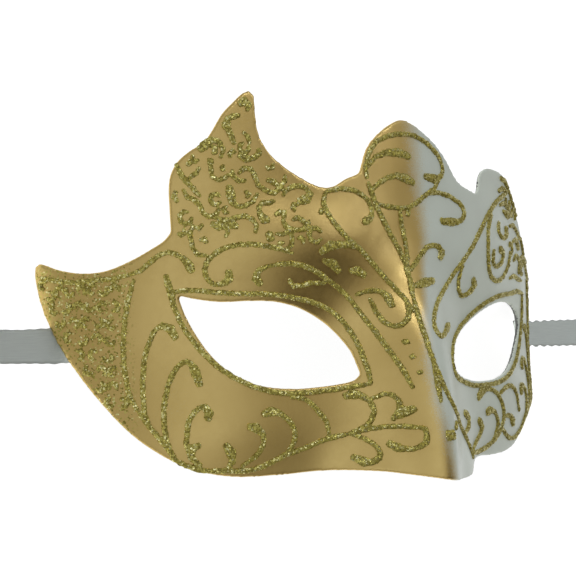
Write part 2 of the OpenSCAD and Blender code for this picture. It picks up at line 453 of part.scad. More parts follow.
// Stem: from the crest down the nose ridge, with curls to the white side
nose_strokes = [
    blob([[-10.4, 24.4], [-9, 20], [-7, 15.4], [-5, 11.6], [-3, 8.2], [-1.8, 4.6], [-1.8, 0.6],
        [-2.6, -4]], 1.5),
    stroke([[-2.6, -4], [-2.8, -8.5], [-2.5, -13], [-2.1, -18], [-0.9, -23.4], [1.2, -28.4], [4.2, -31.8],
        [9, -34.4], [13.6, -37.4], [17.4, -41.4], [19.6, -45]]),
    stroke([[-1.8, -19], [-1.9, -24], [-1.6, -29.4]]),
    stroke([[-1, 18], [-1, 14], [-0.4, 10], [-0.6, 6], [-1.6, 2.6]]),
    drop([[-1, 2.4], [3, 5.4], [6.6, 8.2], [10, 9], [12.4, 7.4], [11.4, 5.4]]),
    drop([[-1.4, -1.4], [3, -0.4], [7.4, 0.2]]),
    stroke([[3.8, -34.2], [2.4, -36]]),
    blob([[-1.2, -37.4], [1.6, -37.2]], 3)];

// ---- Ribbons ------------------------------------------------------------------------------------
// Way of the right ribbon, as [x, y, height of its middle, turn from flat to standing]. It starts on
// the inside of the temple under the glue, passes below the temple's edge and runs out along the table.
ribbon_y = -2.6;
coil_lift = 0.4;
glued_depth = -wall - ribbon_t / 2 - 0.1;
function glued(u) = let (p = on_table(over([u, -14.8], glued_depth))) [p[0], p[1], p[2], 0];
function lying(x, turn, lift = 0.1) =
    [x, ribbon_y, ribbon_w / 2 * sin(turn) + ribbon_t / 2 * cos(turn) + lift, turn];
function ribbon_route(coil_x) = [
    glued(80), glued(84), glued(87.6), lying(78, 0, 0.6), lying(80, 0), lying(84, 0), lying(88, 0),
    lying(coil_x - 42, 6), lying(coil_x - 39, 12), lying(coil_x - 36, 20), lying(coil_x - 33, 30),
    lying(coil_x - 30, 40), lying(coil_x - 27, 50), lying(coil_x - 24, 60), lying(coil_x - 20, 72, 0.2),
    lying(coil_x - 16, 82, 0.3), lying(coil_x - 12, 90, coil_lift), lying(coil_x - 7, 90, coil_lift)];

// Eight points round the flat section, its edges slightly rounded
section_shape = [[-1, -0.5], [-0.9, -1], [0, -1], [0.9, -1], [1, -0.5], [1, 0.5], [0, 1], [-1, 0.5]];
function route_way(r, i) =
    let (a = r[max(i - 1, 0)], b = r[min(i + 1, len(r) - 1)], d = [b[0] - a[0], b[1] - a[1], b[2] - a[2]])
    d / norm(d);
function route_ring(r, i) =
    let (way = route_way(r, i),
         lean = [0, cos(r[i][3]), sin(r[i][3])],
         flat = lean - way * (lean * way),
         wide = flat / norm(flat),
         thick = cross(way, wide),
         middle = [r[i][0], r[i][1], r[i][2]])
    [for (q = section_shape) middle + wide * q[0] * ribbon_w / 2 + thick * q[1] * ribbon_t / 2];

module ribbon(coil_x) {
    route = ribbon_route(coil_x);
    sides = len(section_shape);
    last = len(route) - 1;
    polyhedron(
        [for (i = [0 : last]) each route_ring(route, i)],
        concat(
            [for (i = [0 : last - 1], k = [0 : sides - 1])
                let (a = i * sides + k, b = i * sides + (k + 1) % sides)
                each k < sides / 2 ? quad(a, a + sides, b + sides, b) : quad(b, a, a + sides, b + sides)],
            [for (k = [1 : sides - 2]) [0, k, k + 1]],
            [for (k = [1 : sides - 2]) [last * sides, last * sides + k + 1, last * sides + k]]));
}

// The put-away length: two loose turns standing on edge, as one ring
module coil(coil_x) {
    coil_wall = 2 * coil_step;
    translate([coil_x, ribbon_y + coil_r, coil_lift])
        rotate_extrude()
            translate([coil_r - coil_wall - ribbon_t / 2, 0])
                square([coil_wall + ribbon_t, ribbon_w]);
}

// A band of the same satin round both turns, on the side away from the mask's edge
tie_length = 6;
tie_t = 0.3;
module tie(coil_x) {
    inside_w = 2 * coil_step + ribbon_t + 0.2;
    inside_h = ribbon_w + 0.2;
    translate([coil_x, ribbon_y + 2 * coil_r - coil_step, coil_lift + ribbon_w / 2])
        difference() {
            cube([tie_length, inside_w + 2 * tie_t, inside_h + 2 * tie_t], center = true);
            cube([tie_length + 1, inside_w, inside_h], center = true);
        }
}

// Flattened drop of glue over the ribbon's end, on the inside of the temple
pad_u = 82.6;
pad_y = -14.6;
pad_half_u = 4.4;
pad_half_y = 5.6;
pad_h = 1.5;
pad_spokes = 16;
pad_rings = 4;
function pad_point(ring, spoke, h) =
    over([pad_u + pad_half_u * ring / pad_rings * cos(spoke * 360 / pad_spokes),
          pad_y + pad_half_y * ring / pad_rings * sin(spoke * 360 / pad_spokes)], -wall + 0.1 - h);
module glue_pad() {
    dome = [for (i = [1 : pad_rings], k = [0 : pad_spokes - 1])
        pad_point(i, k, pad_h * sqrt(1 - 0.96 * pow(i / pad_rings, 2)))];
    base = [for (i = [1 : pad_rings], k = [0 : pad_spokes - 1]) pad_point(i, k, 0)];
    below = len(dome);
    dome_top = 2 * below;
    base_top = dome_top + 1;
    edge = (pad_rings - 1) * pad_spokes;
    set_down() polyhedron(
        concat(dome, base, [pad_point(0, 0, pad_h), pad_point(0, 0, 0)]),
        concat(
            [for (i = [0 : pad_rings - 2], k = [0 : pad_spokes - 1])
                let (a = i * pad_spokes + k, b = i * pad_spokes + (k + 1) % pad_spokes)
                each concat(quad(a, a + pad_spokes, b + pad_spokes, b),
                            quad(below + b, below + b + pad_spokes, below + a + pad_spokes, below + a))],
            [for (k = [0 : pad_spokes - 1])
                let (a = k, b = (k + 1) % pad_spokes)
                each concat([[dome_top, a, b]], [[base_top, below + b, below + a]],
                            quad(edge + a, edge + below + a, edge + below + b, edge + b))]));
}

module on_left() mirror([1, 0, 0]) children();

module glue_pad_left() { color(glue) on_left() glue_pad(); }
module glue_pad_right() { color(glue) glue_pad(); }
module ribbon_left() { color(satin) on_left() ribbon(coil_left_x); }
module ribbon_right() { color(satin) ribbon(coil_right_x); }
module ribbon_coil_left() { color(satin) on_left() coil(coil_left_x); }
module ribbon_coil_right() { color(satin) coil(coil_right_x); }
module ribbon_tie_left() { color(satin) on_left() tie(coil_left_x); }
module ribbon_tie_right() { color(satin) tie(coil_right_x); }

mask_shell();
glue_pad_left();
glue_pad_right();
ribbon_left();
ribbon_right();
ribbon_coil_left();
ribbon_coil_right();
ribbon_tie_left();
ribbon_tie_right();
glitter_lines(temple_strokes);  // temple_left_glitter
glitter_lines(mirrored(temple_strokes));  // temple_right_glitter
glitter_lines(horn_left_strokes);  // horn_left_glitter
glitter_lines(horn_right_strokes);  // horn_right_glitter
glitter_lines(cheek_left_strokes);  // cheek_left_glitter
glitter_lines(cheek_right_strokes);  // cheek_right_glitter
glitter_lines(eye_left_strokes);  // eye_left_glitter
glitter_lines(eye_right_strokes);  // eye_right_glitter
glitter_lines(brow_left_strokes);  // brow_left_glitter
glitter_lines(brow_right_strokes);  // brow_right_glitter
glitter_lines(crest_strokes);  // crest_glitter
glitter_lines(nose_strokes);  // nose_glitter
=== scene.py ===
"""Venetian half mask: gold and white shell, raised glitter scrollwork and two satin ribbon ties.

Lengths are in metres in the row frame. Values given in millimetres are multiplied by MM.
"""
import math

import bpy
import numpy as np
from mathutils import Matrix, Vector


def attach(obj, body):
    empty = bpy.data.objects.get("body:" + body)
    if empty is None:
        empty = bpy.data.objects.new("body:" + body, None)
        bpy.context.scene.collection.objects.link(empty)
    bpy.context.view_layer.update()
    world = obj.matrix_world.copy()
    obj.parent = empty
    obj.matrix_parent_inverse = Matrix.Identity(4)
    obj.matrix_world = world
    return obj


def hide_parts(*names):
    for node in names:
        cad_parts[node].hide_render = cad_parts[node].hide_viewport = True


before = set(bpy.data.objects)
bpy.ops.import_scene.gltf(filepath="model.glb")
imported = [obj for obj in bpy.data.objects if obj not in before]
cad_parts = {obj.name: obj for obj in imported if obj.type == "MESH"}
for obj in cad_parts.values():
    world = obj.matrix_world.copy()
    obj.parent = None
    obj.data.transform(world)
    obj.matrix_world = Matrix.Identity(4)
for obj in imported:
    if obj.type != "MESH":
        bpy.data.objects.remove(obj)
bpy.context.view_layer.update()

MM = 0.001
GLITTER_NODES = [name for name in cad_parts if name.endswith("_glitter")]

# ---- Camera -------------------------------------------------------------------------------------
# The mask's own frame is tipped back about X as the mask lies, and starts at MASK_ORIGIN.
TILT = math.radians(16)
MASK_ORIGIN = Vector((0, 13.19, 1.0)) * MM
VIEW_YAW = math.radians(39.5)
VIEW_DISTANCE = 500 * MM
VIEW_SIDE = -3 * MM
VIEW_DROP = -1.85 * MM
SENSOR = 36.0
LENS = 118.1


def make_camera():
    tip = Matrix.Rotation(TILT, 3, "X")
    back = tip @ Vector((-math.sin(VIEW_YAW), 0, math.cos(VIEW_YAW)))
    right = tip @ Vector((math.cos(VIEW_YAW), 0, math.sin(VIEW_YAW)))
    up = tip @ Vector((0, 1, 0))
    place = MASK_ORIGIN + back * VIEW_DISTANCE + right * VIEW_SIDE
    target = MASK_ORIGIN + right * VIEW_SIDE + up * VIEW_DROP
    away = (place - target).normalized()
    level = up.cross(away).normalized()
    turn = Matrix((level, away.cross(level), away)).transposed()
    data = bpy.data.cameras.new("camera")
    data.sensor_width, data.lens = SENSOR, LENS
    data.clip_start, data.clip_end = 0.01, 20
    camera = bpy.data.objects.new("camera", data)
    camera.matrix_world = Matrix.Translation(place) @ turn.to_4x4()
    bpy.context.collection.objects.link(camera)
    bpy.context.scene.camera = camera


# ---- Meshes -------------------------------------------------------------------------------------
def new_piece(name, verts, faces):
    """A smooth-shaded mesh object from arrays of points and faces."""
    mesh = bpy.data.meshes.new(name)
    mesh.from_pydata([tuple(v) for v in verts], [], [tuple(int(i) for i in f) for f in faces])
    mesh.shade_smooth()
    mesh.update()
    piece = bpy.data.objects.new(name, mesh)
    bpy.context.collection.objects.link(piece)
    return piece


def points_of(mesh):
    co = np.empty(len(mesh.vertices) * 3)
    mesh.vertices.foreach_get("co", co)
    return co.reshape(-1, 3)


def cad_triangles(node):
    """The CAD node's points, each once, and its triangles."""
    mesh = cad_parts[node].data
    mesh.calc_loop_triangles()
    tris = np.empty(len(mesh.loop_triangles) * 3, int)
    mesh.loop_triangles.foreach_get("vertices", tris)
    co = points_of(mesh)
    _, first, same = np.unique(np.round(co * 1e6), axis=0, return_index=True, return_inverse=True)
    return co[first], same.ravel()[tris.reshape(-1, 3)]


def corner_normals(verts, tris, crease):
    """A normal for each corner of each triangle, averaged over the neighbours within the crease angle."""
    edges = verts[tris[:, [1, 2, 0]]] - verts[tris]
    facet = np.cross(edges[:, 0], edges[:, 1])
    facet /= np.maximum(np.linalg.norm(facet, axis=1, keepdims=True), 1e-18)
    length = np.linalg.norm(edges, axis=2)
    angle = np.empty((len(tris), 3))
    for k in range(3):
        cosine = -(edges[:, k] * edges[:, k - 1]).sum(1) / np.maximum(length[:, k] * length[:, k - 1], 1e-18)
        angle[:, k] = np.arccos(np.clip(cosine, -1, 1))
    around = [[] for _ in verts]
    for t, tri in enumerate(tris):
        for k in range(3):
            around[tri[k]].append((t, k))
    normals = np.empty((len(tris), 3, 3))
    limit = math.cos(crease)
    for corners in around:
        if not corners:
            continue
        t, k = np.array(corners).T
        near = facet[t] @ facet[t].T > limit
        mean = near @ (facet[t] * angle[t, k, None])
        normals[t, k] = mean / np.maximum(np.linalg.norm(mean, axis=1, keepdims=True), 1e-18)
    return normals


def rounded(verts, tris, parts, crease=math.radians(38)):
    """Splits each triangle into parts x parts and bulges it between its corners' normals."""
    normals = corner_normals(verts, tris, crease)
    steps = [(i, j) for i in range(parts + 1) for j in range(parts + 1 - i)]
    index = {step: k for k, step in enumerate(steps)}
    small = []
    for i, j in steps:
        if i + j < parts:
            small.append((index[i, j], index[i + 1, j], index[i, j + 1]))
        if i + j < parts - 1:
            small.append((index[i + 1, j], index[i + 1, j + 1], index[i, j + 1]))
    share = np.array([(parts - i - j, i, j) for i, j in steps]) / parts
    corner = verts[tris]
    flat = np.einsum("sk,tkx->tsx", share, corner)
    lift = np.zeros_like(flat)
    for k in range(3):
        height = np.einsum("tsx,tx->ts", flat - corner[:, None, k], normals[:, k])
        lift -= share[None, :, k, None] * height[..., None] * normals[:, None, k]
    points = (flat + 0.5 * lift).reshape(-1, 3)
    faces = (np.arange(len(tris))[:, None, None] * len(steps) + np.array(small)).reshape(-1, 3)
    return points, faces


def apply_modifiers(piece):
    shape = piece.evaluated_get(bpy.context.evaluated_depsgraph_get())
    mesh = bpy.data.meshes.new_from_object(shape)
    old = piece.data
    piece.modifiers.clear()
    piece.data = mesh
    bpy.data.meshes.remove(old)
    mesh.name = piece.name
    mesh.shade_smooth()


def remesh(piece, voxel, smoothing):
    """One closed, evenly meshed skin with softened edges."""
    skin = piece.modifiers.new("skin", "REMESH")
    skin.mode, skin.voxel_size, skin.use_smooth_shade = "VOXEL", voxel, True
    soft = piece.modifiers.new("soft", "SMOOTH")
    soft.factor, soft.iterations = 0.5, smoothing
    apply_modifiers(piece)


def lumps(piece, kind, size, strength):
    """Moves the points along their normals by a noise of the given size."""
    grain = bpy.data.textures.new(piece.name + "_" + kind.lower(), kind)
    grain.noise_scale = size
    push = piece.modifiers.new("push", "DISPLACE")
    push.texture, push.texture_coords = grain, "LOCAL"
    push.strength, push.mid_level = strength, 0.5
    apply_modifiers(piece)


def swell(piece, distance):
    """Moves every point outwards along its normal."""
    push = piece.modifiers.new("push", "DISPLACE")
    push.strength, push.mid_level = distance, 0.0
    apply_modifiers(piece)


def add_attribute(mesh, name, values):
    mesh.attributes.new(name, "FLOAT", "POINT").data.foreach_set("value", np.asarray(values, float))


# ---- Materials ----------------------------------------------------------------------------------
class Shader:
    """A principled material and short ways to add and join its nodes."""

    def __init__(self, name, **fixed):
        self.material = bpy.data.materials.new(name)
        self.material.use_nodes = True
        self.tree = self.material.node_tree
        self.bsdf = self.tree.nodes["Principled BSDF"]
        for socket, value in fixed.items():
            self.bsdf.inputs[socket.replace("_", " ")].default_value = value

    def add(self, kind, inputs=None, **settings):
        node = self.tree.nodes.new("ShaderNode" + kind)
        for key, value in settings.items():
            setattr(node, key, value)
        for key, value in (inputs or {}).items():
            self.put(value, node.inputs[key])
        return node

    def put(self, value, socket):
        if isinstance(value, bpy.types.NodeSocket):
            self.tree.links.new(value, socket)
        else:
            socket.default_value = value

    def give(self, socket, value):
        self.put(value, self.bsdf.inputs[socket])

    def math(self, operation, a, b=0.0, clamp=False):
        return self.add("Math", {0: a, 1: b}, operation=operation, use_clamp=clamp).outputs[0]

    def place(self):
        return self.add("TexCoord").outputs["Object"]

    def noise(self, scale, detail=2.0, roughness=0.5, vector=None):
        inputs = {"Vector": vector or self.place(), "Scale": scale, "Detail": detail, "Roughness": roughness}
        return self.add("TexNoise", inputs).outputs["Fac"]

    def cells(self, scale):
        return self.add("TexVoronoi", {"Vector": self.place(), "Scale": scale}, feature="F1")

    def mix(self, share, a, b):
        node = self.add("Mix", data_type="RGBA")
        self.put(share, node.inputs[0])
        self.put(a, node.inputs[6])
        self.put(b, node.inputs[7])
        return node.outputs[2]

    def span(self, value, low, high, to_low=0.0, to_high=1.0):
        inputs = {"Value": value, "From Min": low, "From Max": high, "To Min": to_low, "To Max": to_high}
        return self.add("MapRange", inputs).outputs[0]

    def ramp(self, share, *stops):
        node = self.add("ValToRGB", {"Fac": share})
        ramp = node.color_ramp
        while len(ramp.elements) < len(stops):
            ramp.elements.new(1.0)
        for element, (place, colour) in zip(ramp.elements, stops):
            element.position, element.color = place, colour
        return node.outputs["Color"]

    def bump(self, height, distance, strength=1.0):
        node = self.add("Bump", {"Height": height, "Distance": distance, "Strength": strength})
        return node.outputs["Normal"]


def rgb(r, g, b):
    return (r, g, b, 1.0)


# Glitter: cells of flakes to the metre, and their tones from darkest to brightest
FLAKES = 2600
FLAKE_TONES = [
    (0.0, rgb(0.22, 0.175, 0.03)), (0.4, rgb(0.37, 0.31, 0.055)),
    (0.8, rgb(0.62, 0.55, 0.14)), (1.0, rgb(0.98, 0.92, 0.46))]
# Share of each temple dusted with loose flakes, and the distance from the middle where the temple starts
LOOSE_SHARE = 0.2
TEMPLE_FROM = 66 * MM
# Height of the axis that the mask's face curves round
HEAD_AXIS = -43 * MM


def shell_paint():
    """Satin gold lacquer sprayed over white plastic, with loose flakes on the temples."""
    s = Shader("shell_paint", Coat_Weight=0.12, Coat_Roughness=0.2, IOR=1.5)
    gold_share = s.add("Attribute", attribute_name="gold").outputs["Fac"]
    cloud = s.noise(90, 3.0)
    spray = s.noise(4200, 1.0)
    grained = s.math("ADD", gold_share, s.span(spray, 0.3, 0.7, -0.16, 0.16))
    faded = s.span(s.math("ADD", grained, s.span(cloud, 0.3, 0.7, -0.04, 0.04)), 0.12, 0.88)
    gold = s.mix(s.span(cloud, 0.35, 0.65), rgb(0.61, 0.434, 0.135), rgb(0.66, 0.476, 0.158))
    white = s.mix(s.span(cloud, 0.35, 0.65), rgb(0.66, 0.705, 0.595), rgb(0.70, 0.755, 0.64))
    painted = s.mix(faded, white, gold)
    flake = s.cells(FLAKES)
    tone = s.add("SeparateColor", {"Color": flake.outputs["Color"]})
    across = s.add("SeparateXYZ", {"Vector": s.place()}).outputs["X"]
    on_temple = s.span(s.math("ABSOLUTE", across), TEMPLE_FROM, TEMPLE_FROM + 2 * MM)
    loose = s.math("MULTIPLY", s.math("GREATER_THAN", tone.outputs[1], 1 - LOOSE_SHARE), on_temple)
    s.give("Base Color", s.mix(loose, painted, s.ramp(tone.outputs[0], *FLAKE_TONES)))
    s.give("Metallic", s.math("MULTIPLY", faded, 0.86))
    wear = s.noise(700, 4.0, 0.6)
    s.give("Roughness", s.math("ADD", s.span(wear, 0.3, 0.7, -0.03, 0.05), s.span(faded, 0, 1, 0.42, 0.31)))
    pebble = s.noise(1500, 2.0)
    s.give("Normal", s.bump(pebble, 0.03 * MM, 0.5))
    return s.material


def shell_inside_painted_shade():
    """Bare white moulded plastic of the hollow side, coloured dark grey as painted shade."""
    s = Shader("shell_inside_painted_shade", IOR=1.45)
    cloud = s.noise(60, 3.0)
    # Painted shade: the white plastic of the hollow is coloured dark grey, as it looks in the shade inside
    # the mask
    s.give("Base Color", s.mix(s.span(cloud, 0.3, 0.7), rgb(0.13, 0.135, 0.12), rgb(0.17, 0.175, 0.16)))
    s.give("Roughness", s.span(s.noise(300, 3.0), 0.3, 0.7, 0.5, 0.64))
    s.give("Normal", s.bump(s.noise(900, 3.0), 0.05 * MM, 0.6))
    return s.material


def glitter_flakes():
    """Flat gold flakes of 0.4 mm, each with its own tone and slant, in clear glue."""
    s = Shader("glitter_flakes", Coat_Weight=0.2, Coat_Roughness=0.15)
    flake = s.cells(FLAKES)
    tone = s.add("SeparateColor", {"Color": flake.outputs["Color"]})
    s.give("Base Color", s.ramp(tone.outputs[0], *FLAKE_TONES))
    s.give("Metallic", s.span(tone.outputs[1], 0.0, 1.0, 0.75, 1.0))
    s.give("Roughness", s.span(tone.outputs[2], 0.0, 1.0, 0.26, 0.52))
    centred = s.add("VectorMath", {0: flake.outputs["Color"], 1: (0.5, 0.5, 0.5)}, operation="SUBTRACT")
    slant = s.add("VectorMath", {0: centred.outputs[0], "Scale": 1.5}, operation="SCALE")
    normal = s.add("NewGeometry").outputs["Normal"]
    # Most flakes lie flat on the mask, so they face out from the head curve as the shell does
    out = s.add("VectorMath", {0: s.place(), 1: (1, 0, 1), 2: (0, 0, -HEAD_AXIS)}, operation="MULTIPLY_ADD")
    flat = s.add("VectorMath", {0: out.outputs[0]}, operation="NORMALIZE")
    faced = s.add("VectorMath", {0: normal, 1: flat.outputs[0]}, operation="ADD")
    leaned = s.add("VectorMath", {0: faced.outputs[0], 1: slant.outputs[0]}, operation="ADD")
    s.give("Normal", s.add("VectorMath", {0: leaned.outputs[0]}, operation="NORMALIZE").outputs[0])
    return s.material


def satin():
    """Woven satin: fine ribs across the ribbon, a firmer edge and soft creases along it."""
    s = Shader("satin", Sheen_Weight=0.25, Sheen_Roughness=0.4, Anisotropic=0.35, IOR=1.45)
    uv = s.add("UVMap", uv_map="UVMap").outputs["UV"]
    across = s.add("SeparateXYZ", {"Vector": uv}).outputs["X"]
    edge = s.span(s.math("ABSOLUTE", across), 0.84, 0.93)
    ribs = s.add("TexWave", {"Vector": uv, "Scale": 9.0, "Distortion": 0.4}, bands_direction="Y")
    streaks = s.noise(2.2, 3.0, 0.6, s.add("Mapping", {"Vector": uv, "Scale": (6.0, 0.09, 1.0)}).outputs[0])
    tone = s.mix(s.span(streaks, 0.3, 0.7), rgb(0.71, 0.765, 0.705), rgb(0.79, 0.85, 0.78))
    s.give("Base Color", s.mix(s.math("MULTIPLY", edge, 0.35), tone, rgb(0.40, 0.42, 0.40)))
    s.give("Roughness", s.span(streaks, 0.3, 0.7, 0.34, 0.46))
    height = s.math("ADD", ribs.outputs["Fac"], s.math("MULTIPLY", edge, 1.5))
    s.give("Normal", s.bump(height, 0.04 * MM, 0.7))
    return s.material


def hot_glue():
    """Cloudy hot-melt glue."""
    s = Shader("hot_glue", IOR=1.48, Transmission_Weight=0.15)
    cloud = s.noise(500, 3.0)
    s.give("Base Color", s.mix(s.span(cloud, 0.3, 0.7), rgb(0.40, 0.39, 0.33), rgb(0.56, 0.55, 0.48)))
    s.give("Roughness", s.span(cloud, 0.3, 0.7, 0.22, 0.38))
    s.give("Normal", s.bump(s.noise(800, 2.0), 0.12 * MM, 0.6))
    return s.material


# ---- Ribbons ------------------------------------------------------------------------------------
# In millimetres until the finished points are multiplied by MM
RIBBON_W = 8.0
RIBBON_T = 0.4
RIBBON_Y = -2.6
# Radius of the coil's outer turn, the way each turn steps inwards, and the coil's height over the table
COIL_R = 29.0
COIL_STEP = 4.0
COIL_LIFT = 0.4
# The band round the coil: its half length, wall, gap round the turns, waviness and lowest point
TIE_HALF = 3.0
TIE_WALL = 0.2
TIE_GAP = 0.25
TIE_PINCH = 0.12
TIE_RIPPLE = 0.05
TIE_LIFT = 0.05
TIE_SQUARENESS = 0.22
# How far along the ribbon its puckers and its flare reach, and their sizes on the left and the right
PUCKER_REACH = 16.0
FLARE_REACH = 9.0
PUCKER = {-1: 0.2, 1: 1.0}
FLARE = {-1: 0.40, 1: -0.30}
# The glued end, on the inside of the right temple: [x, y, z, turn from flat to standing]
GLUED = [[72.29, -4.27, 8.08, 0], [74.71, -3.45, 5.24, 0], [76.66, -2.67, 2.56, 0]]


def lying(x, turn, lift=0.1):
    a = math.radians(turn)
    return [x, RIBBON_Y, RIBBON_W / 2 * math.sin(a) + RIBBON_T / 2 * math.cos(a) + lift, turn]


def ribbon_route(coil_x, turns):
    """The right ribbon's way in millimetres: along the table, turning to stand on edge, and into its coil."""
    route = GLUED + [
        lying(78, 0, 0.6), lying(80, 0), lying(84, 0), lying(88, 0),
        lying(coil_x - 42, 6), lying(coil_x - 39, 12), lying(coil_x - 36, 20), lying(coil_x - 33, 30),
        lying(coil_x - 30, 40), lying(coil_x - 27, 50), lying(coil_x - 24, 60), lying(coil_x - 20, 72, 0.2),
        lying(coil_x - 16, 82, 0.3), lying(coil_x - 12, 90, COIL_LIFT), lying(coil_x - 7, 90, COIL_LIFT)]
    steps = int(turns * 40)
    for k in range(steps + 1):
        done = turns * k / steps
        r = COIL_R - COIL_STEP * done
        a = math.radians(360 * done - 90)
        route.append([
            coil_x + r * math.cos(a), RIBBON_Y + COIL_R + r * math.sin(a), RIBBON_W / 2 + COIL_LIFT, 90])
    return np.array(route)


def spline(points, step):
    """Points about a step apart on a smooth curve through the given ones."""
    out = []
    for i in range(len(points) - 1):
        a, b = points[i], points[i + 1]
        before, after = points[max(i - 1, 0)], points[min(i + 2, len(points) - 1)]
        length = np.linalg.norm((b - a)[:3])
        ways = []
        for lo, hi in ((before, b), (a, after)):
            gap = np.linalg.norm((hi - lo)[:3])
            ways.append((hi - lo) * length / max(gap, 1e-9))
        count = max(1, round(length / step))
        for k in range(count):
            t = k / count
            out.append((2 * t**3 - 3 * t**2 + 1) * a + (t**3 - 2 * t**2 + t) * ways[0]
                       + (3 * t**2 - 2 * t**3) * b + (t**3 - t**2) * ways[1])
    out.append(points[-1])
    return np.array(out)


def make_ribbon(side, coil_x, turns):
    """A thin woven strip along its route. side is -1 for the left ribbon and 1 for the right one."""
    name = "satin_ribbon_left" if side < 0 else "satin_ribbon_right"
    line = spline(ribbon_route(coil_x, turns), 0.8)
    middle = line[:, :3]
    way = np.gradient(middle, axis=0)
    way /= np.linalg.norm(way, axis=1, keepdims=True)
    turn = np.radians(line[:, 3])
    lean = np.stack([0 * turn, np.cos(turn), np.sin(turn)], 1)
    wide = lean - way * (lean * way).sum(1, keepdims=True)
    wide /= np.linalg.norm(wide, axis=1, keepdims=True)
    thick = np.cross(way, wide)
    run = np.concatenate([[0], np.cumsum(np.linalg.norm(np.diff(middle, axis=0), axis=1))])
    lanes = np.linspace(-1, 1, 13)
    # The held end puckers, and the pucker fades along the ribbon.
    # The left ribbon flares towards the mask and the right one gathers.
    pucker = np.exp(-run / PUCKER_REACH) * PUCKER[side]
    breadth = 1 + np.exp(-run / FLARE_REACH) * FLARE[side]
    verts, uvs = [], []
    for face in (-1, 1):
        for k, centre in enumerate(middle):
            for lane in lanes:
                scallop = pucker[k] * math.sin(run[k] * 1.9 + 0.6 + lane) * abs(lane) ** 6 * lane
                swell = pucker[k] * 0.35 * math.sin(run[k] * 1.3 + lane * 4)
                selvage = 1 - 0.45 * max(0, abs(lane) - 0.9) / 0.1
                half = RIBBON_T / 2 * 0.8 * selvage * face
                verts.append(centre + wide[k] * (lane * breadth[k] * (RIBBON_W / 2 - 0.1) + scallop)
                             + thick[k] * (half + swell * (1 - abs(lane)) * 0.5))
                uvs.append((lane, run[k]))
    rows, cols = len(middle), len(lanes)
    faces = []
    for face in (0, 1):
        base = face * rows * cols
        for k in range(rows - 1):
            for j in range(cols - 1):
                a = base + k * cols + j
                quad = [a, a + 1, a + cols + 1, a + cols]
                faces.append(quad if face else quad[::-1])
    below, above = 0, rows * cols
    for k in range(rows - 1):
        for j, flip in ((0, True), (cols - 1, False)):
            a, b = below + k * cols + j, above + k * cols + j
            quad = [a, a + cols, b + cols, b]
            faces.append(quad[::-1] if flip else quad)
    for k, flip in ((0, False), (rows - 1, True)):
        for j in range(cols - 1):
            a, b = below + k * cols + j, above + k * cols + j
            quad = [a, a + 1, b + 1, b]
            faces.append(quad[::-1] if flip else quad)
    verts = np.array(verts) * [side, 1, 1] * MM
    if side < 0:
        faces = [f[::-1] for f in faces]
    piece = new_piece(name, verts, faces)
    layer = piece.data.uv_layers.new(name="UVMap")
    for loop in piece.data.loops:
        layer.data[loop.index].uv = uvs[loop.vertex_index]
    piece.data.materials.append(satin_material)
    path = middle * [side, 1, 1] * MM
    return piece, path


def make_tie(side, coil_x):
    """A pinched band of satin round both turns of the coil."""
    name = "satin_tie_left" if side < 0 else "satin_tie_right"
    half_w = COIL_STEP + RIBBON_T / 2 + TIE_GAP
    half_h = RIBBON_W / 2 + TIE_GAP
    around, across = 48, 13
    verts, faces, uvs = [], [], []
    for layer, out in ((0, 0.0), (1, TIE_WALL)):
        for j in range(across):
            along = TIE_HALF * (2 * j / (across - 1) - 1)
            pinch = TIE_PINCH * math.cos(along * 1.1) ** 2
            for k in range(around):
                a = 2 * math.pi * k / around
                c, s = math.cos(a), math.sin(a)
                y = math.copysign(abs(c) ** TIE_SQUARENESS, c) * (half_w + out - pinch)
                z = math.copysign(abs(s) ** TIE_SQUARENESS, s) * (half_h + out - pinch)
                ripple = TIE_RIPPLE * math.sin(along * 5 + k * 0.8)
                verts.append([coil_x + along + ripple * 0.3, RIBBON_Y + 2 * COIL_R - COIL_STEP + y,
                              max(COIL_LIFT + RIBBON_W / 2 + z, TIE_LIFT)])
                uvs.append((along / TIE_HALF, k * 0.8))

    def at(layer, j, k):
        return (layer * across + j) * around + k % around

    for layer in (0, 1):
        for j in range(across - 1):
            for k in range(around):
                quad = [at(layer, j, k), at(layer, j, k + 1), at(layer, j + 1, k + 1), at(layer, j + 1, k)]
                faces.append(quad if layer == 0 else quad[::-1])
    for j, flip in ((0, False), (across - 1, True)):
        for k in range(around):
            quad = [at(0, j, k), at(1, j, k), at(1, j, k + 1), at(0, j, k + 1)]
            faces.append(quad if not flip else quad[::-1])
    verts = np.array(verts) * [side, 1, 1] * MM
    if side < 0:
        faces = [f[::-1] for f in faces]
    piece = new_piece(name, verts, faces)
    layer = piece.data.uv_layers.new(name="UVMap")
    for loop in piece.data.loops:
        layer.data[loop.index].uv = uvs[loop.vertex_index]
    piece.data.materials.append(satin_material)
    return piece


make_camera()
satin_material = satin()
# Where a ribbon comes out from under the temple
# Each ribbon's side, its coil's place across in millimetres, its turns and its whole length in metres
RIBBONS = {"left": (-1, 134.0, 2.0, 0.385), "right": (1, 152.0, 1.9, 0.39)}
for word, (side, coil_x, turns, length) in RIBBONS.items():
    ribbon, path = make_ribbon(side, coil_x, turns)
    tie = make_tie(side, coil_x)
    for piece in (ribbon, tie):
        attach(piece, "root")
    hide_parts(f"ribbon_{word}", f"ribbon_coil_{word}")
    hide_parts(f"ribbon_tie_{word}")


# ---- Shell --------------------------------------------------------------------------------------
# Mesh size of each kind of piece, and how many times it is softened
SHELL_CELL, SHELL_SOFTENING = 0.4 * MM, 4
GLUE_CELL, GLUE_SOFTENING = 0.3 * MM, 4
GLITTER_CELL, GLITTER_SOFTENING = 0.24 * MM, 16
# Thickness that the softening takes off a line of glitter
GLITTER_SWELL = 0.13 * MM
